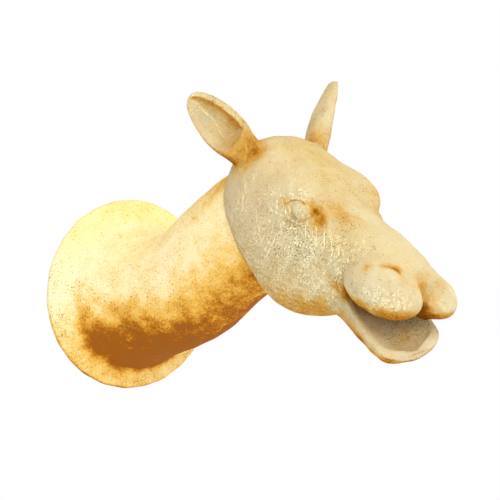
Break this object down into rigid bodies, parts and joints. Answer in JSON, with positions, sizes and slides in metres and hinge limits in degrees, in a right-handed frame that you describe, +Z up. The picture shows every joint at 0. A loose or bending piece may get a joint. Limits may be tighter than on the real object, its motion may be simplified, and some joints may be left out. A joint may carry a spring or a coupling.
{
  "type": "camel head wall sculpture",
  "caption": "Camel's head and neck cast hollow in antiqued stone, hung on a wall plate by a hook-over rail behind its round flange.",
  "frame": {"origin": "centre of the wall plate's back face, on the wall, in the middle of its four screw holes and of the round flange", "axes": "+Y into the wall, -Y out of it towards the muzzle, +Z up, +X to the sculpture's own left"},
  "size_m": [0.3179, 0.5299, 0.4168],
  "materials": {
    "cast_stone": "matte",
    "galvanised_steel": "satin",
    "zinc_plated_steel": "satin",
    "plywood": "matte",
    "grp_sleeve": "matte",
    "felt": "matte"
  },
  "bodies": {
    "bracket": {"wall_plate": "galvanised_steel"},
    "sculpture": {"armature_bolts": "zinc_plated_steel", "armature_nuts": "zinc_plated_steel", "armature_plate": "galvanised_steel", "armature_tube": "galvanised_steel", "back_board": "plywood", "board_screws": "zinc_plated_steel", "ear_left": "cast_stone", "ear_pins": "zinc_plated_steel", "ear_right": "cast_stone", "hanger_rail": "galvanised_steel", "hanger_screws": "zinc_plated_steel", "head_bulkhead": "plywood", "head_shell_left": "cast_stone", "head_shell_right": "cast_stone", "jaw_pins": "zinc_plated_steel", "joint_sleeve": "grp_sleeve", "lower_jaw": "cast_stone", "neck_shell_left": "cast_stone", "neck_shell_right": "cast_stone", "tube_pin": "zinc_plated_steel", "wall_pads": "felt"}
  },
  "joints": [
    {"name": "lift_off", "type": "slide", "parent": "bracket", "child": "sculpture", "axis": [0, 0, 1], "range_m": [0, 0.02]}
  ]
}
